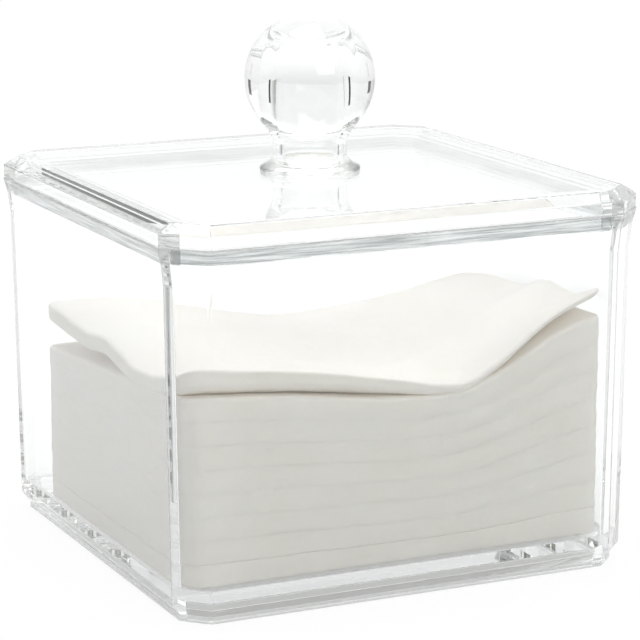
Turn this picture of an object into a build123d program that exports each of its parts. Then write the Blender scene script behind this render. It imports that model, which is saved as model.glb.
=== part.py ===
from build123d import *
import os
from math import cos, pi, sin, sqrt

# A clear moulded box for cotton pads, with a lift-off lid, a ball knob and a soft stack of pads.
# Millimetres. +Z is up, the front faces -Y, and the origin is the centre of the underside.

# Box
rim_width = 95.4  # across the flats where the lid sits
rim_corner = 6.7  # leg of each cut corner at the rim
box_height = 67.7  # underside to rim
rim_band_height = 2.8  # sloping band just below the rim
rim_band_out = 0.7  # how far each wall leans out over the band
flare_height = 4.3  # the walls lean out more gently over this much below the band
flare_out = 0.5
base_width = 91.3  # across the flats just above the base bevel
base_corner = 5.3  # leg of each cut corner there
wall = 2.5
floor_top = 5.9  # height of the inside floor
floor_thickness = 2.4
foot_height = 1.2  # plain edge that the box stands on
foot_wall = 2.5  # width of the ring round the recess under the floor
bevel_height = 2.0  # sloping band between the foot and the wall
bevel_in = 1.5  # how far the foot stands in from the wall

# Lid
lid_setback = 0.2  # from the rim's outer edge to the lid's
lid_edge = 2.5  # height of the lid's plain edge
lid_bevel_rise = 1.7
lid_bevel_in = 2.5
lid_thickness = 2.5  # plate over the recess inside the skirt
skirt_depth = 3.2
skirt_wall = 2.4
skirt_clearance = 0.3

# Knob, heights above the lid's top
flange_radius = 9.6
flange_edge = 0.7
flange_sweep = 0.35  # hollow of the flange's upper side
neck_radius = 7.1
neck_bottom = 2.8
neck_height = 2.7
neck_sweep = 0.2  # hollow of the flare between neck and ball
ball_radius = 12.4
ball_centre = 17.45
ball_join_radius = 8.7  # where the flare runs into the ball
bore_radius = 5.2  # hollow up the middle of the knob, from its underside to the neck's top
bore_widest = 6.6  # then it swells like a barrel
bore_widest_height = 15.0
bore_top_radius = 5.9
bore_top = 24.4

# Cotton pads
pad_count = 8  # pads in the stack, under the top one
pad_pitch = 3.8  # one pad and the gap over it, at the stack's lowest place
pad_gap = 0.3
pad_left_gap = 0.9  # from a pad's left edge to the inside of the box's left wall
pad_right_gap = 2.5
pad_front_gap = 2.3
pad_back_gap = 14.8
pad_corner_gap = 0.8  # from a pad's rounded corner to the box's cut corner
pad_slip = 0.25  # how far a pad lies to one side of the next
edge_draw = 0.45  # how far a pad's faces draw in at its edge
edge_round = 1.3  # over this distance from the edge

# Waves of the stack
valley_place = 0.6  # lowest line, as a share of the pad's width from the left
left_rise = 4.2
left_fade = 0.65  # share of the left rise that is gone at the back
right_rise = 11.6
right_fade = 0.85
back_drop = 1.5
top_thick = 3.6  # the top pad at its left edge
top_thin = 1.4  # and at its pressed right edge
front_left_lift = 2.0  # how far the top pad's corners stand off the stack
back_left_lift = 4.2
front_right_lift = 3.8
back_right_lift = 0.8
lift_reach = 0.35  # share of the depth that a left corner's lift takes

across_spacing = 5.9  # least distance between the stations across a pad, more than its rounded corner takes
along_spacing = 9.8
overcut = 1.0  # how far a cutting solid runs past the face that it opens

lid_top = box_height + lid_edge + lid_bevel_rise


def inset(outline, by):
    """The outline moved in by the same distance on all eight sides."""
    width, corner = outline
    return width - 2 * by, corner - by * (2 - sqrt(2))


def between(low, high, share):
    """The outline that lies at a share of the way from low to high."""
    return low[0] + (high[0] - low[0]) * share, low[1] + (high[1] - low[1]) * share


def cut_square(outline, z):
    """A flat square with its corners cut at 45 degrees, at height z."""
    width, corner = outline
    side = width / 2
    flat = side - corner
    quarter = [(side, -flat), (side, flat)]
    points = []
    for turn in range(4):
        for x, y in quarter:
            points.append(Vector(x, y, z).rotate(Axis.Z, 90 * turn))
    return make_face(Polyline(points, close=True))


def stack_up(levels):
    """Straight-sided solid through outlines, each given with its height."""
    return loft([cut_square(outline, z) for z, outline in levels], ruled=True)


rim = (rim_width, rim_corner)
shoulder = inset(rim, rim_band_out)
waist = inset(shoulder, flare_out)
base = (base_width, base_corner)
foot = inset(base, bevel_in)
bevel_top = foot_height + bevel_height
shoulder_height = box_height - rim_band_height
waist_height = shoulder_height - flare_height
lid_outline = inset(rim, lid_setback)


def cavity_outline(z):
    """Inside of the walls at height z."""
    if z < waist_height:
        outer = between(base, waist, (z - bevel_top) / (waist_height - bevel_top))
    elif z < shoulder_height:
        outer = between(waist, shoulder, (z - waist_height) / flare_height)
    else:
        outer = between(shoulder, rim, (z - shoulder_height) / rim_band_height)
    return inset(outer, wall)


def box_shell():
    foot_levels = [(0, foot), (foot_height, foot), (bevel_top, base)]
    wall_levels = [(waist_height, waist), (shoulder_height, shoulder), (box_height, rim)]
    outside = stack_up(foot_levels + wall_levels)
    top = box_height + overcut
    inside_heights = [floor_top, waist_height, shoulder_height, top]
    inside = stack_up([(z, cavity_outline(z)) for z in inside_heights])
    ring = inset(foot, foot_wall)
    recess = stack_up([(-overcut, ring), (floor_top - floor_thickness, ring)])
    return outside - inside - recess


def lid_plate():
    edge_top = box_height + lid_edge
    plate = stack_up([(box_height, lid_outline), (edge_top, lid_outline), (lid_top, inset(lid_outline, lid_bevel_in))])
    skirt_bottom = box_height - skirt_depth
    skirt_outline = inset(cavity_outline(skirt_bottom), skirt_clearance)
    skirt = stack_up([(skirt_bottom, skirt_outline), (box_height, skirt_outline)])
    hollow_outline = inset(skirt_outline, skirt_wall)
    hollow = stack_up([(skirt_bottom - overcut, hollow_outline), (lid_top - lid_thickness, hollow_outline)])
    return plate + skirt - hollow


def lid_knob():
    neck_top = neck_bottom + neck_height
    join_height = ball_centre - sqrt(ball_radius**2 - ball_join_radius**2)
    widest = (ball_radius, ball_centre)
    crown = (0, ball_centre + ball_radius)
    low_turn = (ball_radius * cos(pi / 10), ball_centre - ball_radius * sin(pi / 10))
    high_turn = (ball_radius * cos(pi / 4), ball_centre + ball_radius * sin(pi / 4))
    profile = [
        Line((0, 0), (flange_radius, 0)),
        Line((flange_radius, 0), (flange_radius, flange_edge)),
        SagittaArc((flange_radius, flange_edge), (neck_radius, neck_bottom), -flange_sweep),
        Line((neck_radius, neck_bottom), (neck_radius, neck_top)),
        SagittaArc((neck_radius, neck_top), (ball_join_radius, join_height), -neck_sweep),
        ThreePointArc((ball_join_radius, join_height), low_turn, widest),
        ThreePointArc(widest, high_turn, crown),
        Line(crown, (0, 0)),
    ]
    bore_profile = [
        Line((0, -overcut), (bore_radius, -overcut)),
        Line((bore_radius, -overcut), (bore_radius, neck_top)),
        ThreePointArc((bore_radius, neck_top), (bore_widest, bore_widest_height), (bore_top_radius, bore_top)),
        Line((bore_top_radius, bore_top), (0, bore_top)),
        Line((0, bore_top), (0, -overcut)),
    ]
    solid_knob = revolve(make_face(Plane.XZ * Wire(profile)), Axis.Z)
    bore = revolve(make_face(Plane.XZ * Wire(bore_profile)), Axis.Z)
    return Pos(0, 0, lid_top) * (solid_knob - bore)


# The pads fill the narrowest room between the walls. Their corners are rounded by as much as clears its cut corners.
room_width, room_corner = min(cavity_outline(floor_top), cavity_outline(waist_height))
stack_left = pad_left_gap - room_width / 2
stack_front = pad_front_gap - room_width / 2
pad_width = room_width - pad_left_gap - pad_right_gap
pad_depth = room_width - pad_front_gap - pad_back_gap
corner_reach = room_corner + pad_corner_gap * sqrt(2) - pad_left_gap - pad_front_gap
pad_corner = max(corner_reach / (2 - sqrt(2)), edge_round)
across_steps = int(pad_width / across_spacing)
along_steps = int(pad_depth / along_spacing)


def ease(share):
    """0 below 0, 1 above 1, and a smooth rise between."""
    held = min(max(share, 0), 1)
    return (1 - cos(pi * held)) / 2


def place(x, y):
    """Where a point lies on the stack: shares of its width and depth, and its two slopes."""
    across = (x - stack_left) / pad_width
    along = (y - stack_front) / pad_depth
    left_slope = ease(1 - across / valley_place)
    right_slope = ease((across - valley_place) / (1 - valley_place))
    return across, along, left_slope, right_slope


def level(number, x, y):
    """Height of the upper face of a pad of the stack. The waves grow from none at the floor."""
    across, along, left_slope, right_slope = place(x, y)
    left = left_rise * (1 - left_fade * along) * left_slope
    right = right_rise * (1 - right_fade * max(along, 0) ** 3) * right_slope
    wave = left + right - back_drop * along
    return floor_top + number * pad_pitch + wave * number / pad_count


def top_pad_underside(x, y):
    """The top pad rests on the stack along its valley, and its corners stand off."""
    across, along, left_slope, right_slope = place(x, y)
    front_corner = front_left_lift * ease(1 - along / lift_reach)
    back_corner = back_left_lift * ease((along - lift_reach) / (1 - lift_reach))
    right_corner = front_right_lift + (back_right_lift - front_right_lift) * along
    lift = (front_corner + back_corner) * left_slope + right_corner * right_slope
    return level(pad_count, x, y) + pad_gap + lift


def top_pad_upper_side(x, y):
    across = place(x, y)[0]
    return top_pad_underside(x, y) + top_thin + (top_thick - top_thin) * ease(1 - across)


def stations(low, high, steps, slip):
    """Places along one side of a pad: its two edges, the start of their rounding, and even steps that all pads share."""
    step = (high - low) / steps
    shared = [low + step * number for number in range(1, steps)]
    return [low + slip, low + slip + edge_round, *shared, high + slip - edge_round, high + slip]


def plan_inset(distance):
    """How far the rounded corner takes the end of a row in, at this distance from the pad's front or back edge."""
    reach = max(pad_corner - distance, 0)
    return pad_corner - sqrt(pad_corner**2 - reach**2)


def pad(underside, upper_side, slip_x, slip_y):
    """A soft pad between two height functions, lofted through straight-line sections from its front to its back."""
    xs = stations(stack_left, stack_left + pad_width, across_steps, slip_x)
    ys = stations(stack_front, stack_front + pad_depth, along_steps, slip_y)
    sections = []
    for row, y in enumerate(ys):
        end = plan_inset(min(y - ys[0], ys[-1] - y))
        row_xs = [xs[0] + end, xs[1] + end, *xs[2:-2], xs[-2] - end, xs[-1] - end]
        row_draw = edge_draw if row in (0, len(ys) - 1) else 0
        low = []
        high = []
        for column, x in enumerate(row_xs):
            draw = max(row_draw, edge_draw if column in (0, len(row_xs) - 1) else 0)
            low.append(Vector(x, y, underside(x, y) + draw))
            high.append(Vector(x, y, upper_side(x, y) - draw))
        sections.append(make_face(Polyline(low + high[::-1], close=True)))
    return loft(sections, ruled=True)


def stack_pad(number):
    """One pad of the stack, counted from the floor. Its slip follows a sine, so that no two lie quite alike."""
    under = number - 1
    gap = pad_gap if under else 0
    slip_x = pad_slip * sin(2.4 * number)
    slip_y = pad_slip * sin(3.7 * number)
    return pad(lambda x, y: level(under, x, y) + gap, lambda x, y: level(number, x, y), slip_x, slip_y)


def build():
    parts = {"box_shell": box_shell(), "lid_plate": lid_plate(), "lid_knob": lid_knob()}
    for number in range(1, pad_count + 1):
        parts[f"cotton_pad_{number}"] = stack_pad(number)
    parts["top_cotton_pad"] = pad(top_pad_underside, top_pad_upper_side, 0, 0)
    return parts


os.makedirs("parts", exist_ok=True)
for name, shape in build().items():
    export_step(shape, f"parts/{name}.step")
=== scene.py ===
import math

import bpy
import numpy as np
from mathutils import Matrix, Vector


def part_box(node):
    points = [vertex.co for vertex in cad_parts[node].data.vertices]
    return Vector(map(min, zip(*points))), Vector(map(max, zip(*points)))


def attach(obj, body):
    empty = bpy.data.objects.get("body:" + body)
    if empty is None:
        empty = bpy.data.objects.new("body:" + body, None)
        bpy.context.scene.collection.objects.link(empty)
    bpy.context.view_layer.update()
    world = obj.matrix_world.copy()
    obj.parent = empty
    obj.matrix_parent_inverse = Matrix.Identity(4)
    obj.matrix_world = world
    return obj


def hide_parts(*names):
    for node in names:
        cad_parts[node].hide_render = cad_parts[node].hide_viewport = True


# A clear box for cotton pads with a lift-off lid and a ball knob, dressed round its CAD frame.
# Sizes in the dictionaries are millimetres; meshes are in metres, with +Z up and the front towards -Y.

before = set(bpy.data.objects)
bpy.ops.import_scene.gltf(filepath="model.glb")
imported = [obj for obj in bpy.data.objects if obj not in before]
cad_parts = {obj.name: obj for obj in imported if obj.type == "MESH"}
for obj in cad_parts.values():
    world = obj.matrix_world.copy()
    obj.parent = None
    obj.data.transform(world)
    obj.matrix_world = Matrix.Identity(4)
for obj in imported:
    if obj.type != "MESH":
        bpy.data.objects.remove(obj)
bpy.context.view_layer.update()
toMetres = 0.001
print("Frame loaded:", ", ".join(sorted(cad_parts)))


# Colours and nodes

def linear(hexColour):
    # an sRGB hex colour as linear red, green, blue and alpha
    parts = [int(hexColour[start:start + 2], 16) / 255 for start in (1, 3, 5)]
    return [part / 12.92 if part <= 0.04045 else ((part + 0.055) / 1.055) ** 2.4 for part in parts] + [1]


def addNode(tree, kind, inputs=None, **settings):
    # inputs holds a value for a socket, or another node's output to link to it
    node = tree.nodes.new("ShaderNode" + kind)
    for name, value in settings.items():
        setattr(node, name, value)
    for name, value in (inputs or {}).items():
        if isinstance(value, bpy.types.NodeSocket):
            tree.links.new(value, node.inputs[name])
        else:
            node.inputs[name].default_value = value
    return node


# a Mix node's sockets share their names, so its two colours and the mixed one go by number
firstColour, secondColour, mixedColour = 6, 7, 2


def newMaterial(name):
    material = bpy.data.materials.new(name)
    material.use_nodes = True
    material.node_tree.nodes.clear()
    return material, material.node_tree


# Meshes

def newPiece(name, vertices, faces, material):
    # vertices in millimetres, an array of points; faces, lists of corner numbers
    mesh = bpy.data.meshes.new(name)
    mesh.from_pydata((vertices * toMetres).tolist(), [], faces)
    mesh.shade_smooth()
    mesh.materials.append(material)
    piece = bpy.data.objects.new(name, mesh)
    bpy.context.scene.collection.objects.link(piece)
    return piece


def ringFaces(rows, columns):
    # quads between each row of points and the next, where every row is a closed ring
    row = np.arange(rows - 1)[:, None]
    column = np.arange(columns)[None, :]
    nextColumn = (column + 1) % columns
    corners = [
        row * columns + column,
        row * columns + nextColumn,
        (row + 1) * columns + nextColumn,
        (row + 1) * columns + column,
    ]
    return np.stack(corners, -1).reshape(-1, 4).tolist()


def through(points, at):
    # A smooth line through (place, height) points, in cubic pieces: its slope at a point is a mean of
    # the slopes of the chords to its two neighbours.
    x, z = np.array(points, float).T
    slope = np.gradient(z, x)
    piece = np.clip(np.searchsorted(x, at) - 1, 0, len(x) - 2)
    width = x[piece + 1] - x[piece]
    share = np.clip((at - x[piece]) / width, 0, 1)
    square, cube = share ** 2, share ** 3
    return ((2 * cube - 3 * square + 1) * z[piece] + (cube - 2 * square + share) * width * slope[piece]
            + (3 * square - 2 * cube) * z[piece + 1] + (cube - square) * width * slope[piece + 1])


# Clear moulded plastic

clearLook = {
    "colour": "#fdfefe",
    "ior": 1.49,
    "roughness": 0.0,
    "rippleWidth": 22.0,  # the mould's polish leaves very long, very shallow waves
    "rippleHeight": 0.004,
    "lossPerMetre": 2.6,  # light taken in on its way, so that long ways along an edge show grey
    "lossColour": (0.0, 0.02, 0.02),
    "streakWidth": (12.0, 0.35),  # painted rim streaks: along and up
    # painted reflections: these greys stand in for the darker room that the rim band mirrors and bends
    "paintedReflectionDark": "#a6aaaa",
    "paintedReflectionLight": "#eef0f0",
    "streakSpread": (0.35, 0.65),  # the noise's values that are all dark and all light
}
knobLook = {**clearLook, "lossPerMetre": 4.0, "rippleWidth": 9.0, "rippleHeight": 0.002}


def clearPlastic(name, look, streakBand=None):
    # Acrylic, injection moulded in a polished steel mould: it shows only bright and dark lines where its
    # edges bend what lies behind, and faint waves in its broad walls. Between the two band heights its
    # colour has fine grey streaks painted in: painted reflections of the darker room round it. One material
    # serves a whole piece, as its inside must be the same all through.
    material, tree = newMaterial(name)
    place = addNode(tree, "TexCoord")
    colour = linear(look["colour"])
    # painted reflections: grey streaks mixed into the colour within the rim band, in place of the darker
    # room it shows
    if streakBand:
        height = addNode(tree, "SeparateXYZ", {"Vector": place.outputs["Object"]}).outputs["Z"]
        above = addNode(tree, "Math", {0: height, 1: streakBand[0] * toMetres}, operation="GREATER_THAN")
        below = addNode(tree, "Math", {0: height, 1: streakBand[1] * toMetres}, operation="LESS_THAN")
        within = addNode(tree, "Math", {0: above.outputs[0], 1: below.outputs[0]}, operation="MULTIPLY")
        along, upward = [1 / (width * toMetres) for width in look["streakWidth"]]
        stretched = addNode(tree, "Mapping", {
            "Vector": place.outputs["Object"],
            "Scale": (along, along, upward),
        })
        streak = addNode(tree, "TexNoise", {"Vector": stretched.outputs[0], "Scale": 1.0, "Detail": 3.0})
        allDark, allLight = look["streakSpread"]
        spread = addNode(tree, "MapRange", {
            "Value": streak.outputs["Fac"],
            "From Min": allDark,
            "From Max": allLight,
        })
        streaked = addNode(tree, "Mix", {
            "Factor": spread.outputs[0],
            firstColour: linear(look["paintedReflectionDark"]),
            secondColour: linear(look["paintedReflectionLight"]),
        }, data_type="RGBA")
        whole = addNode(tree, "Mix", {
            "Factor": within.outputs[0],
            firstColour: colour,
            secondColour: streaked.outputs[mixedColour],
        }, data_type="RGBA")
        colour = whole.outputs[mixedColour]
    ripple = addNode(tree, "TexNoise", {
        "Vector": place.outputs["Object"],
        "Scale": 1 / (look["rippleWidth"] * toMetres),
        "Detail": 1.0,
    })
    bump = addNode(tree, "Bump", {
        "Height": ripple.outputs["Fac"],
        "Distance": look["rippleHeight"] * toMetres,
        "Strength": 1.0,
    })
    surface = addNode(tree, "BsdfPrincipled", {
        "Base Color": colour,
        "Roughness": look["roughness"],
        "IOR": look["ior"],
        "Transmission Weight": 1.0,
        "Normal": bump.outputs["Normal"],
    })
    inside = addNode(tree, "VolumeAbsorption", {
        "Color": (*look["lossColour"], 1),
        "Density": look["lossPerMetre"],
    })
    addNode(tree, "OutputMaterial", {"Surface": surface.outputs["BSDF"], "Volume": inside.outputs[0]})
    return material


def octagonRing(width, corner):
    # the eight corners of a square with cut corners, anticlockwise from the right side's front end
    side = width / 2
    flat = side - corner
    sides = [np.array([(side, -flat), (side, flat)])]
    for turn in range(3):
        sides.append(np.column_stack([-sides[-1][:, 1], sides[-1][:, 0]]))
    return np.concatenate(sides)


def inset(outline, by):
    # the same outline moved in by one distance on all eight sides
    width, corner = outline
    return width - 2 * by, corner - by * (2 - math.sqrt(2))


def between(low, high, share):
    return low[0] + (high[0] - low[0]) * share, low[1] + (high[1] - low[1]) * share


def mouldedPiece(name, levels, material, rounding):
    # A closed skin through octagonal outlines, each given as (height, outline), with a flat face over
    # the first and over the last.
    rings = [np.column_stack([octagonRing(*outline), np.full(8, height)]) for height, outline in levels]
    vertices = np.concatenate(rings)
    faces = ringFaces(len(rings), 8)
    faces.append(list(range(7, -1, -1)))
    faces.append(list(range(len(vertices) - 8, len(vertices))))
    piece = newPiece(name, vertices, faces, material)
    # the mould's edges are slightly rounded, which gives each edge its thin bright line
    edge = piece.modifiers.new("roundedEdges", "BEVEL")
    edge.width = rounding * toMetres
    edge.segments = 4
    edge.limit_method = "ANGLE"
    edge.angle_limit = math.radians(3)  # less than the walls' gentlest bend, under the rim
    edge.harden_normals = True
    return piece


boxSizes = {
    "rim": (95.4, 6.7),  # across the flats, and the leg of a cut corner
    "height": 67.7,
    "rimFace": 0.1,  # topmost part of the rim, left without the painted streaks
    "bandHeight": 2.8,  # sloping band just below the rim
    "bandOut": 0.7,
    "flareHeight": 4.3,  # gentler lean below the band
    "flareOut": 0.5,
    "base": (91.3, 5.3),
    "wall": 2.5,
    "floorTop": 5.9,
    "floorUnderside": 3.5,
    "footHeight": 1.2,
    "footWall": 2.5,
    "bevelHeight": 2.0,
    "bevelIn": 1.5,
    "edgeRounding": 0.3,
    "lidGap": 0.03,  # below the lid's edge, so that the two clear pieces keep a skin of air between them
}


def boxBends(size):
    # heights at which the outer walls bend: over the base's bevel, at the waist and at the shoulder
    shoulderHeight = size["height"] - size["bandHeight"]
    return size["footHeight"] + size["bevelHeight"], shoulderHeight - size["flareHeight"], shoulderHeight


def boxOuter(size, z):
    # outline of the outer walls at height z, from the top of the base's bevel to the rim
    bevelTop, waistHeight, shoulderHeight = boxBends(size)
    shoulder = inset(size["rim"], size["bandOut"])
    waist = inset(shoulder, size["flareOut"])
    if z < waistHeight:
        return between(size["base"], waist, (z - bevelTop) / (waistHeight - bevelTop))
    if z < shoulderHeight:
        return between(waist, shoulder, (z - waistHeight) / size["flareHeight"])
    return between(shoulder, size["rim"], (z - shoulderHeight) / size["bandHeight"])


def makeBox(size):
    foot = inset(size["base"], size["bevelIn"])
    recess = inset(foot, size["footWall"])
    bevelTop, waistHeight, shoulderHeight = boxBends(size)
    bends = [waistHeight, shoulderHeight, size["height"] - size["lidGap"]]
    levels = [
        (size["floorUnderside"], recess),
        (0.0, recess),
        (0.0, foot),
        (size["footHeight"], foot),
        (bevelTop, size["base"]),
        *[(z, boxOuter(size, z)) for z in bends],
        *[(z, inset(boxOuter(size, z), size["wall"])) for z in bends[::-1] + [size["floorTop"]]],
    ]
    # the rim band, whose colour gets grey streaks painted in as painted reflections
    streakBand = (shoulderHeight, size["height"] - size["rimFace"])
    plastic = clearPlastic("clear_acrylic_painted_rim_streaks", clearLook, streakBand)
    return mouldedPiece("clear_box", levels, plastic, size["edgeRounding"])


lidSizes = {
    "setback": 0.2,  # from the rim's outer edge to the lid's
    "edge": 2.5,
    "bevelRise": 1.7,
    "bevelIn": 2.5,
    "thickness": 2.5,
    "skirtDepth": 3.2,
    "skirtWall": 2.4,
    "skirtClearance": 0.3,
    "edgeRounding": 0.25,
}
lidTop = boxSizes["height"] + lidSizes["edge"] + lidSizes["bevelRise"]


def makeLid(size, box):
    rimHeight = box["height"]
    edge = inset(box["rim"], size["setback"])
    skirtBottom = rimHeight - size["skirtDepth"]
    skirt = inset(inset(boxOuter(box, skirtBottom), box["wall"]), size["skirtClearance"])
    hollow = inset(skirt, size["skirtWall"])
    levels = [
        (lidTop - size["thickness"], hollow),
        (skirtBottom, hollow),
        (skirtBottom, skirt),
        (rimHeight, skirt),
        (rimHeight, edge),
        (rimHeight + size["edge"], edge),
        (lidTop, inset(edge, size["bevelIn"])),
    ]
    plastic = clearPlastic("moulded_clear_acrylic", clearLook)
    return mouldedPiece("clear_lid", levels, plastic, size["edgeRounding"])


knobSizes = {
    # heights are over the lid
    "gap": 0.02,  # skin of air over the lid, where the knob is bonded on
    "flangeRadius": 9.6,
    "flangeEdge": 0.7,
    "flangeRounding": 0.25,
    "neckRadius": 7.1,
    "neckBottom": 2.8,
    "neckHeight": 2.7,
    "ballRadius": 12.4,
    "ballCentre": 17.45,
    "ballJoinRadius": 8.7,
    "ballRings": 72,
    "boreRadius": 5.2,  # the hollow up the middle, which shows as a clear barrel inside the ball
    "boreFlare": (0.7, 2.5),  # how much wider it is, this far above the neck
    "boreWidest": (6.6, 15.0),  # radius and height
    "boreTop": (5.9, 24.4),
    "boreRounding": 0.7,
    "sides": 128,
}


def arc(start, end, sagitta, count):
    # points on an arc from start to end that bulges by sagitta to the right of the way there
    start, end = np.array(start), np.array(end)
    chord = np.hypot(*(end - start))
    along = (end - start) / chord
    across = np.array([along[1], -along[0]])
    radius = (chord ** 2 / 4 + sagitta ** 2) / (2 * abs(sagitta))
    centre = (start + end) / 2 - across * math.copysign(radius - abs(sagitta), sagitta)
    first = np.arctan2(*(start - centre)[::-1])
    sweep = 2 * math.asin(chord / 2 / radius) * math.copysign(1, sagitta)
    angles = first + sweep * np.linspace(0, 1, count)
    return centre + radius * np.column_stack([np.cos(angles), np.sin(angles)])


bendGap = 0.3  # straight stretches of the knob's profile stop this short of a bend, to keep it crisp


def boreProfile(size, neckTop):
    # The hollow's (radius, height) points from the middle of its roof outwards and down: the flat roof,
    # its rounded corner, the barrel's smooth line and the straight hole through the neck.
    radius, gap = size["boreRadius"], size["gap"]
    roofRadius, roofHeight = size["boreTop"]
    wider, flareHeight = size["boreFlare"]
    widest, widestHeight = size["boreWidest"]
    rounding = size["boreRounding"]
    barrel = [
        (neckTop, radius),
        (neckTop + flareHeight, radius + wider),
        (widestHeight, widest),
        (roofHeight - rounding, roofRadius),
    ]
    heights = np.linspace(roofHeight - rounding - 0.2, neckTop, 30)
    return np.concatenate([
        [(roofRadius * share, roofHeight) for share in (0.3, 0.6, 0.8)],
        arc((roofRadius - rounding, roofHeight), (roofRadius, roofHeight - rounding), -0.2, 6),
        np.column_stack([through(barrel, heights), heights]),
        [(radius, height) for height in np.linspace(neckTop - bendGap, 0.4, 6)],
        [(radius, gap + 0.1), (radius + 0.1, gap)],
    ])


def outerProfile(size, neckTop):
    # the outside from under the flange to the ball's top: flange, neck, flare and ball
    gap, edge, turned = size["gap"], size["flangeRadius"], size["flangeRounding"]
    edgeTop, neck, neckBottom = size["flangeEdge"], size["neckRadius"], size["neckBottom"]
    joinRadius = size["ballJoinRadius"]
    joinHeight = size["ballCentre"] - math.sqrt(size["ballRadius"] ** 2 - joinRadius ** 2)
    joinAngle = math.atan2(joinHeight - size["ballCentre"], joinRadius)
    angles = np.linspace(joinAngle, math.pi / 2, size["ballRings"])[1:-1]
    return np.concatenate([
        [(edge * 0.75, gap)],
        arc((edge - turned, gap), (edge, gap + turned), 0.07, 5),
        arc((edge, edgeTop - turned), (edge - turned, edgeTop + 0.12), 0.06, 5),
        arc((edge - turned - 0.1, edgeTop + 0.18), (neck, neckBottom), -0.30, 12),
        [(neck, height) for height in np.linspace(neckBottom + bendGap, neckTop - bendGap, 6)],
        arc((neck, neckTop), (joinRadius, joinHeight), -0.2, 8),
        np.column_stack([np.cos(angles), np.sin(angles)]) * size["ballRadius"] + (0, size["ballCentre"]),
    ])


def makeKnob(size):
    # a profile of (radius, height) points turned about the Z axis, and closed by a point at either end
    neckTop = size["neckBottom"] + size["neckHeight"]
    profile = np.concatenate([boreProfile(size, neckTop), outerProfile(size, neckTop)])
    sides = size["sides"]
    turn = np.arange(sides) / sides * 2 * math.pi
    radius, height = profile[:, 0][:, None], profile[:, 1][:, None] + lidTop
    points = np.broadcast_arrays(radius * np.cos(turn), radius * np.sin(turn), height)
    rings = np.stack(points, -1).reshape(-1, 3)
    roof, summit = len(rings), len(rings) + 1
    ends = [(0, 0, lidTop + size["boreTop"][1]), (0, 0, lidTop + size["ballCentre"] + size["ballRadius"])]
    last = len(rings) - sides
    faces = ringFaces(len(profile), sides)
    faces += [[(side + 1) % sides, side, roof] for side in range(sides)]
    faces += [[last + side, last + (side + 1) % sides, summit] for side in range(sides)]
    plastic = clearPlastic("moulded_clear_acrylic_knob", knobLook)
    return newPiece("ball_knob", np.concatenate([rings, ends]), faces, plastic)


clearBox = makeBox(boxSizes)
clearLid = makeLid(lidSizes, boxSizes)
ballKnob = makeKnob(knobSizes)
print("Clear box, lid and knob made")


# Cotton pads

cottonLook = {
    "colour": "#fcf9f6",
    "deepColour": "#f6f1ea",
    "cloudWidth": 9.0,  # loose and dense places in the wadding
    "fibreWidth": 0.45,  # single fibres are 0.02 mm; drawn as bundles that the picture can show
    "fibreHeight": 0.05,
    "lintWidth": 2.4,
    "lintHeight": 0.12,
    "glow": 0.15,  # share of light that goes through the wadding
    "glowReach": (2.4, 2.1, 1.8),
}


def cottonWadding(look):
    # Carded cotton, pressed into pads: matt, faintly fuzzy, and it lets light through where it is thin.
    material, tree = newMaterial("pressed_cotton_wadding")
    place = addNode(tree, "TexCoord").outputs["Object"]
    cloud = addNode(tree, "TexNoise", {
        "Vector": place,
        "Scale": 1 / (look["cloudWidth"] * toMetres),
        "Detail": 3.0,
    })
    colour = addNode(tree, "Mix", {
        "Factor": cloud.outputs["Fac"],
        firstColour: linear(look["deepColour"]),
        secondColour: linear(look["colour"]),
    }, data_type="RGBA")
    fibre = addNode(tree, "TexNoise", {
        "Vector": place,
        "Scale": 1 / (look["fibreWidth"] * toMetres),
        "Detail": 4.0,
        "Distortion": 1.2,
    })
    lint = addNode(tree, "TexNoise", {
        "Vector": place,
        "Scale": 1 / (look["lintWidth"] * toMetres),
        "Detail": 2.0,
    })
    lintBump = addNode(tree, "Bump", {
        "Height": lint.outputs["Fac"],
        "Distance": look["lintHeight"] * toMetres,
        "Strength": 1.0,
    })
    fibreBump = addNode(tree, "Bump", {
        "Height": fibre.outputs["Fac"],
        "Distance": look["fibreHeight"] * toMetres,
        "Strength": 1.0,
        "Normal": lintBump.outputs["Normal"],
    })
    surface = addNode(tree, "BsdfPrincipled", {
        "Base Color": colour.outputs[mixedColour],
        "Roughness": 0.95,
        "Specular IOR Level": 0.1,
        "Subsurface Weight": look["glow"],
        "Subsurface Radius": look["glowReach"],
        "Subsurface Scale": toMetres,
        "Sheen Weight": 0.15,
        "Sheen Roughness": 0.5,
        "Normal": fibreBump.outputs["Normal"],
    })
    addNode(tree, "OutputMaterial", {"Surface": surface.outputs["BSDF"]})
    return material


cotton = cottonWadding(cottonLook)

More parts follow.
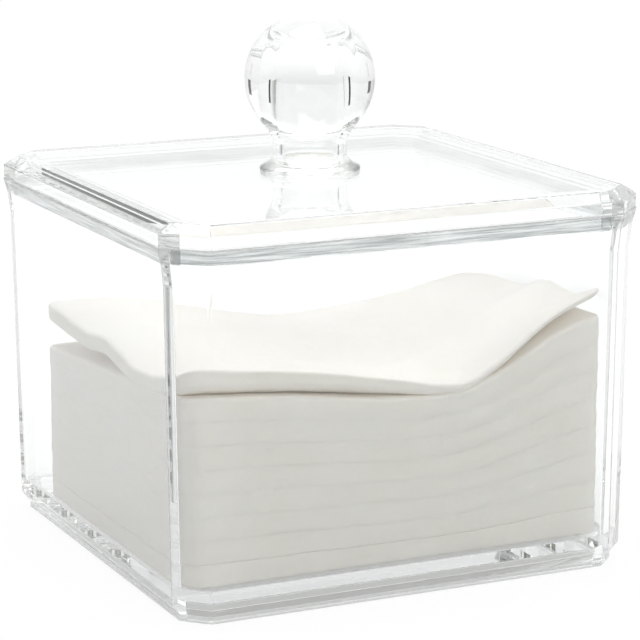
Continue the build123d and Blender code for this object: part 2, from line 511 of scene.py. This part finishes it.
stackSizes = {
    "count": 8,
    "pitch": 3.8,
    "floor": 5.9,
    "floorGap": 0.02,  # under the lowest pad
    "gap": 0.01,  # under each of the others
    "columns": 121,
    "rows": 101,
    "crowding": 1.6,  # how strongly columns and rows crowd towards the edges; 1 is evenly
    # shares of a pad's thickness at which its cut sides have points
    "sideShares": (0.02, 0.07, 0.2, 0.35, 0.5, 0.65, 0.8, 0.93, 0.98),
    "cornerRadius": 3.1,
    "valley": 0.6,  # share of the way across at which the stack is lowest
    "leftRise": 4.2,  # from there to the left end of the front
    "leftFade": 0.65,  # share of that rise that is gone at the back
    "rightRise": 11.6,
    "rightFade": 0.85,
    "backDrop": 1.5,  # how much lower the whole back is
    "unevenness": 0.1,  # of the faces between the pads
    "unevenWidth": 14.0,
    "waver": 0.16,  # how far the cut edges wander in and out
    "waverWidth": 12.0,
    "waverReach": 1.2,  # how far into the pad that wandering is felt
    # how far the pads' edges are rounded off at the floor and at each joint above it: the pressed stack
    # shows its lowest joint best and hardly any in the middle
    "edgeRounds": (0.5, 0.2, 0, 0, 0, 0, 0, 0, 0.7),
    "roundWidth": 1.3,  # a rounding's width over its height
    "leastThickness": 0.1,
    "seed": 11,
}

# the box of the frame's lowest pad, across which the waves are measured
stackLow, stackHigh = [np.array(corner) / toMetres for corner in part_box("cotton_pad_1")]


def ease(share):
    # 0 below 0, 1 above 1, and half a cosine wave between
    return (1 - np.cos(np.pi * np.clip(share, 0, 1))) / 2


def softNoise(x, y, width, seed, layers=3, waves=5):
    # sums of sine waves of random heading and start, each layer half as wide and half as high as the last
    draw = np.random.default_rng(seed)
    total = np.zeros(np.broadcast(x, y).shape)
    for layer in range(layers):
        for wave in range(waves):
            heading, start = draw.uniform(0, 2 * np.pi, 2)
            length = width / 2 ** layer * draw.uniform(0.7, 1.4)
            phase = (x * np.cos(heading) + y * np.sin(heading)) * 2 * np.pi / length + start
            total += np.sin(phase) / 2 ** layer
    return total / waves


def stackLevel(number, x, y, size):
    # height of the upper face of a pad; the waves grow from none at the floor
    across = (x - stackLow[0]) / (stackHigh[0] - stackLow[0])
    along = (y - stackLow[1]) / (stackHigh[1] - stackLow[1])
    leftShare = ease(1 - across / size["valley"])
    rightShare = ease((across - size["valley"]) / (1 - size["valley"]))
    left = size["leftRise"] * (1 - size["leftFade"] * along) * leftShare
    right = size["rightRise"] * (1 - size["rightFade"] * np.clip(along, 0, 1) ** 3) * rightShare
    wave = left + right - size["backDrop"] * along
    return size["floor"] + number * size["pitch"] + wave * number / size["count"]


def padGrid(low, high, size):
    # places on a rounded rectangle: rows from front to back, whose ends draw in round the corners.
    # Columns and rows crowd towards the edges, where the faces round off.
    def crowd(count):
        even = np.linspace(-1, 1, count)
        return (np.sign(even) * (1 - (1 - np.abs(even)) ** size["crowding"]) + 1) / 2

    corner = size["cornerRadius"]
    y = low[1] + crowd(size["rows"]) * (high[1] - low[1])
    reach = np.clip(corner - np.minimum(y - low[1], high[1] - y), 0, corner)
    end = corner - np.sqrt(corner ** 2 - reach ** 2)
    x = low[0] + end[:, None] + crowd(size["columns"])[None, :] * (high[0] - low[0] - 2 * end[:, None])
    return x, np.broadcast_to(y[:, None], x.shape)


def edgeDistance(x, y, low, high, corner):
    # distance from a place to the rounded rectangle's edge, positive inside
    middle = (low[:2] + high[:2]) / 2
    half = (high[:2] - low[:2]) / 2 - corner
    outX, outY = np.abs(x - middle[0]) - half[0], np.abs(y - middle[1]) - half[1]
    outside = np.hypot(np.maximum(outX, 0), np.maximum(outY, 0))
    return corner - outside - np.minimum(np.maximum(outX, outY), 0)


def sideWaver(points, low, high, size):
    # the cut sides wander in and out, alike on every pad, and less the farther in a point lies
    x, y, z = points[..., 0], points[..., 1], points[..., 2]
    corner = size["cornerRadius"]
    depth = edgeDistance(x, y, low, high, corner)
    step = 0.01
    outward = np.stack([
        depth - edgeDistance(x + step, y, low, high, corner),
        depth - edgeDistance(x, y + step, low, high, corner),
    ], -1) / step
    wander = softNoise(x + y, z * 2, size["waverWidth"], size["seed"])
    push = size["waver"] * wander * np.exp(-depth / size["waverReach"])
    moved = points.copy()
    moved[..., :2] += outward * push[..., None]
    return moved


def makePad(name, low, high, underside, upperSide, roundBelow, roundAbove, size):
    # Two faces over the same places, rounded off by quarter ellipses at the edge, and a side wall
    # between their borders.
    x, y = padGrid(low, high, size)
    depth = edgeDistance(x, y, low, high, size["cornerRadius"])

    def rounded(by):
        share = np.clip(1 - depth / max(by * size["roundWidth"], 0.001), 0, 1)
        return by * (1 - np.sqrt(1 - share ** 2))

    bottom = underside(x, y) + rounded(roundBelow)
    top = np.maximum(upperSide(x, y) - rounded(roundAbove), bottom + size["leastThickness"])
    rows, columns = x.shape
    border = np.concatenate([  # anticlockwise from the front left corner
        np.arange(columns),
        np.arange(1, rows) * columns + columns - 1,
        (rows - 1) * columns + np.arange(columns - 2, -1, -1),
        np.arange(rows - 2, 0, -1) * columns,
    ])
    upper = np.stack([x, y, top], -1).reshape(-1, 3)
    lower = np.stack([x, y, bottom], -1).reshape(-1, 3)
    share = np.array(size["sideShares"])[:, None, None]
    side = lower[border][None] * (1 - share) + upper[border][None] * share
    vertices = sideWaver(np.concatenate([upper, lower, side.reshape(-1, 3)]), low, high, size)
    grid = np.arange(x.size).reshape(x.shape)
    quads = np.stack([grid[:-1, :-1], grid[:-1, 1:], grid[1:, 1:], grid[1:, :-1]], -1).reshape(-1, 4)
    sideRings = 2 * x.size + np.arange(side[..., 0].size).reshape(side.shape[:2])
    rings = np.concatenate([(border + x.size)[None], sideRings, border[None]])
    nextRings = np.roll(rings, -1, 1)
    wall = np.stack([rings[:-1], nextRings[:-1], nextRings[1:], rings[1:]], -1).reshape(-1, 4)
    faces = np.concatenate([quads, quads[:, ::-1] + x.size, wall]).tolist()
    piece = newPiece(name, vertices, faces, cotton)
    piece.data.set_sharp_from_angle(angle=math.radians(60))  # the cut edges, where they aren't rounded off
    return piece


def makeStack(size):
    # the frame's pads are slipped a little to and fro; these lie flush, at the middle of the slips
    numbers = range(1, size["count"] + 1)
    boxes = np.array([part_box(f"cotton_pad_{number}") for number in numbers]) / toMetres
    low, high = boxes.mean(0)

    def joint(number, x, y):
        # the face between a pad and the next one up, which is uneven, or for 0 the flat floor
        level = stackLevel(number, x, y, size)
        if number == 0:
            return level
        return level + size["unevenness"] * softNoise(x, y, size["unevenWidth"], size["seed"] + number)

    pads = []
    for number in numbers:
        gap = size["gap"] if number > 1 else size["floorGap"]

        def underside(x, y):
            return joint(number - 1, x, y) + gap

        def upperSide(x, y):
            return joint(number, x, y)

        name = f"soft_pad_{number}"
        roundBelow, roundAbove = size["edgeRounds"][number - 1:number + 1]
        pads.append(makePad(name, low, high, underside, upperSide, roundBelow, roundAbove, size))
    return pads


topPadShape = {
    # (place, height) points of the pad's upper face along its four edges: the waves that a soft pad
    # takes in a box
    "front": [
        (-42.5, 46.2), (-31.3, 45.0), (-17.2, 43.2), (-2.7, 40.4), (6.6, 38.5),
        (13.2, 38.7), (17.9, 41.2), (29.3, 48.8), (40.5, 53.6),
    ],
    "back": [
        (-42.5, 45.0), (-22.2, 43.6), (-14.2, 41.5), (1.7, 38.1), (20.2, 38.3),
        (29.6, 39.3), (40.5, 40.4),
    ],
    "left": [
        (-40.9, 46.2), (-36.0, 44.0), (-30.0, 42.6), (-23.5, 42.0), (-17.1, 42.1),
        (-11.2, 43.1), (-4.6, 44.3), (5.9, 43.5), (14.1, 44.0), (28.5, 45.0),
    ],
    "right": [
        (-40.9, 53.6), (-30.0, 50.2), (-18.6, 50.8), (-12.6, 48.7), (-5.0, 47.9),
        (3.0, 47.7), (17.5, 45.0), (21.7, 43.3), (28.5, 40.4),
    ],
    "ripple": 0.16,
    "rippleWidth": 22.0,
    "thick": 3.6,  # at its left edge
    "thin": 1.3,  # at its pressed right edge
    "roundAbove": 0.7,
    "roundBelow": 0.9,
    "seed": 70,
}


def makeTopPad(shape, size):
    low, high = [np.array(corner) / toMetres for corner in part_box("top_cotton_pad")]

    def upperSide(x, y):
        # the four edge lines blended across the pad, less the plane of its corners
        across = np.clip((x - low[0]) / (high[0] - low[0]), 0, 1)
        along = np.clip((y - low[1]) / (high[1] - low[1]), 0, 1)
        front, back = through(shape["front"], x), through(shape["back"], x)
        left, right = through(shape["left"], y), through(shape["right"], y)
        frontPlane = (1 - across) * shape["front"][0][1] + across * shape["front"][-1][1]
        backPlane = (1 - across) * shape["back"][0][1] + across * shape["back"][-1][1]
        plane = (1 - along) * frontPlane + along * backPlane
        ripple = shape["ripple"] * softNoise(x, y, shape["rippleWidth"], shape["seed"])
        return (1 - along) * front + along * back + (1 - across) * left + across * right - plane + ripple

    def underside(x, y):
        across = np.clip((x - low[0]) / (high[0] - low[0]), 0, 1)
        thickness = shape["thin"] + (shape["thick"] - shape["thin"]) * ease(1 - across)
        return upperSide(x, y) - thickness

    roundBelow, roundAbove = shape["roundBelow"], shape["roundAbove"]
    return makePad("soft_top_pad", low, high, underside, upperSide, roundBelow, roundAbove, size)


pads = makeStack(stackSizes)
topPad = makeTopPad(topPadShape, stackSizes)
print("Cotton pads made")


# Joining the pieces to the frame

for piece, node, body in (
    (clearBox, "box_shell", "box"),
    (clearLid, "lid_plate", "lid"),
    (ballKnob, "lid_knob", "lid"),
):
    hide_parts(node)
    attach(piece, body)
for number, piece in enumerate(pads + [topPad], 1):
    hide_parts(f"cotton_pad_{number}" if number <= len(pads) else "top_cotton_pad")
    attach(piece, "box")


# Floor, light and camera

photoCamera = {
    "place": (-0.21872, -0.47209, 0.15770),  # metres
    "heading": 0.43745,  # radians from +Y towards +X
    "down": 0.2180,
    "roll": -0.0016,
    "lens": 155.35,
    "sensor": 36.0,
}

floorLook = {
    "side": 6.0,  # metres
    "colour": "#d6d6d6",
    "show": 0.95,  # how much of the floor's look is plain white, the rest being its own light and shadow
    "showBent": 0.45,  # the same where a clear piece bends or mirrors it into view
}


def makeFloor(look):
    half = look["side"] / 2
    mesh = bpy.data.meshes.new("studio_floor")
    corners = [(-half, -half, 0), (half, -half, 0), (half, half, 0), (-half, half, 0)]
    mesh.from_pydata(corners, [], [(0, 1, 2, 3)])
    material, tree = newMaterial("white_paper_sweep")
    ray = addNode(tree, "LightPath").outputs
    bent = addNode(tree, "Math", {
        0: ray["Is Glossy Ray"],
        1: ray["Is Transmission Ray"],
    }, operation="MAXIMUM")
    bent = addNode(tree, "Math", {0: bent.outputs[0], 1: look["showBent"]}, operation="MULTIPLY")
    direct = addNode(tree, "Math", {0: ray["Is Camera Ray"], 1: look["show"]}, operation="MULTIPLY")
    share = addNode(tree, "Math", {0: bent.outputs[0], 1: direct.outputs[0]}, operation="MAXIMUM")
    paper = addNode(tree, "BsdfDiffuse", {"Color": linear(look["colour"])})
    white = addNode(tree, "Emission", {"Color": (1, 1, 1, 1), "Strength": 1.0})
    both = addNode(tree, "MixShader", {0: share.outputs[0], 1: paper.outputs[0], 2: white.outputs[0]})
    addNode(tree, "OutputMaterial", {"Surface": both.outputs[0]})
    mesh.materials.append(material)
    floor = bpy.data.objects.new("studio_floor", mesh)
    bpy.context.scene.collection.objects.link(floor)


skyLook = {
    # brightness round the horizon, by degrees to the right of the way the camera looks: white behind the
    # object, dimmer on the camera's side
    "round": [
        (-180, 0.4), (-140, 0.4), (-125, 0.3), (-75, 0.35), (-55, 1.0),
        (60, 1.0), (85, 0.9), (115, 0.4), (180, 0.4),
    ],
    "tint": (0.98, 1.01, 0.93),  # of the dimmer side, a little green
    "tintBelow": 0.9,  # the tint holds where the brightness is less
    "top": 1.5,  # brightness overhead
    "topFrom": 18,  # degrees up from the horizon at which it starts to win, and where it has won
    "topFull": 38,
}


def makeSky(look, heading):
    world = bpy.data.worlds.new("studio_room")
    bpy.context.scene.world = world
    world.use_nodes = True
    tree = world.node_tree
    tree.nodes.clear()
    place = addNode(tree, "TexCoord").outputs["Generated"]
    # turned so that the radial gradient has its middle where the camera looks, and its seam behind it
    turned = addNode(tree, "Mapping", {"Vector": place, "Rotation": (0, 0, heading - math.pi / 2)})
    about = addNode(tree, "TexGradient", {"Vector": turned.outputs[0]}, gradient_type="RADIAL")
    ramp = addNode(tree, "ValToRGB", {"Fac": about.outputs["Fac"]})
    stops = ramp.color_ramp.elements
    # the gradient grows anticlockwise, so degrees to the right count down
    marks = sorted((0.5 - degrees / 360, light) for degrees, light in look["round"])
    stops[0].position, stops[1].position = marks[0][0], marks[-1][0]
    for at, light in marks[1:-1]:
        stops.new(at)
    for stop, (at, light) in zip(stops, marks):
        tint = look["tint"] if light < look["tintBelow"] else (1, 1, 1)
        stop.color = [light * part for part in tint] + [1]
    up = addNode(tree, "SeparateXYZ", {"Vector": place})
    high = addNode(tree, "MapRange", {
        "Value": up.outputs["Z"],
        "From Min": math.sin(math.radians(look["topFrom"])),
        "From Max": math.sin(math.radians(look["topFull"])),
    }, interpolation_type="SMOOTHSTEP")
    room = addNode(tree, "Mix", {
        "Factor": high.outputs[0],
        firstColour: ramp.outputs["Color"],
        secondColour: [look["top"]] * 3 + [1],
    }, data_type="RGBA")
    lit = addNode(tree, "Background", {"Color": room.outputs[mixedColour], "Strength": 1.0})
    white = addNode(tree, "Background", {"Color": (1, 1, 1, 1), "Strength": 1.0})
    ray = addNode(tree, "LightPath")
    both = addNode(tree, "MixShader", {
        0: ray.outputs["Is Camera Ray"],
        1: lit.outputs[0],
        2: white.outputs[0],
    })
    addNode(tree, "OutputWorld", {"Surface": both.outputs[0]})


softboxes = {
    # place and side in metres, watts, colour, and the tilt in degrees from facing down towards +Y
    "overhead_softbox": {
        "place": (0.0, 0.1, 1.1),
        "side": 0.7,
        "watts": 6.0,
        "colour": (1.0, 1.0, 1.0),
        "tilt": 0,
    },
    "front_softbox": {
        "place": (0.1, -1.05, 0.65),
        "side": 0.7,
        "watts": 3.4,
        "colour": (1.0, 1.0, 0.88),
        "tilt": 60,
    },
}


def makeSoftbox(name, look):
    lamp = bpy.data.lights.new(name, "AREA")
    lamp.color = look["colour"]
    lamp.size = look["side"]
    lamp.energy = look["watts"]
    box = bpy.data.objects.new(name, lamp)
    box.location = look["place"]
    box.rotation_euler = (math.radians(look["tilt"]), 0, 0)
    bpy.context.scene.collection.objects.link(box)


blackCards = {
    "colour": "#141414",
    "away": 300,  # from the Z axis
    "width": 40,
    # degrees to the right of the way the camera looks, and the heights between which each card hangs
    "cards": [(-54, 78, 127), (55, 72, 137)],
}


def makeCards(look, heading):
    # Black cards behind the object, outside the picture: the knob and the edges bend them into view as
    # dark bars.
    material, tree = newMaterial("black_card")
    paper = addNode(tree, "BsdfDiffuse", {"Color": linear(look["colour"])})
    addNode(tree, "OutputMaterial", {"Surface": paper.outputs[0]})
    for number, (degrees, bottom, top) in enumerate(look["cards"], 1):
        bearing = heading + math.radians(degrees)
        out = np.array([math.sin(bearing), math.cos(bearing), 0])
        side = np.array([math.cos(bearing), -math.sin(bearing), 0]) * look["width"] / 2
        low, high = out * look["away"] + (0, 0, bottom), out * look["away"] + (0, 0, top)
        corners = np.array([low - side, low + side, high + side, high - side])
        card = newPiece(f"black_card_{number}", corners, [[0, 1, 2, 3]], material)
        card.visible_camera = False


def makeCamera(view):
    data = bpy.data.cameras.new("photo_camera")
    data.lens = view["lens"]
    data.sensor_width = view["sensor"]
    data.clip_start = 0.01
    camera = bpy.data.objects.new("photo_camera", data)
    turned = Matrix.Rotation(-view["heading"], 4, "Z")
    lowered = Matrix.Rotation(math.pi / 2 - view["down"], 4, "X")
    rolled = Matrix.Rotation(view["roll"], 4, "Z")
    camera.matrix_world = Matrix.Translation(view["place"]) @ turned @ lowered @ rolled
    bpy.context.scene.collection.objects.link(camera)
    bpy.context.scene.camera = camera


makeFloor(floorLook)
makeSky(skyLook, photoCamera["heading"])
makeCards(blackCards, photoCamera["heading"])
for name, look in softboxes.items():
    makeSoftbox(name, look)
makeCamera(photoCamera)
bpy.context.scene.view_settings.view_transform = "Standard"
# light inside a clear wall is thrown back many times before it leaves; stopped sooner, the edges turn black
cycles = bpy.context.scene.cycles
cycles.max_bounces = cycles.transmission_bounces = cycles.glossy_bounces = 128
cycles.diffuse_bounces = 10
print("Floor, light and camera set")
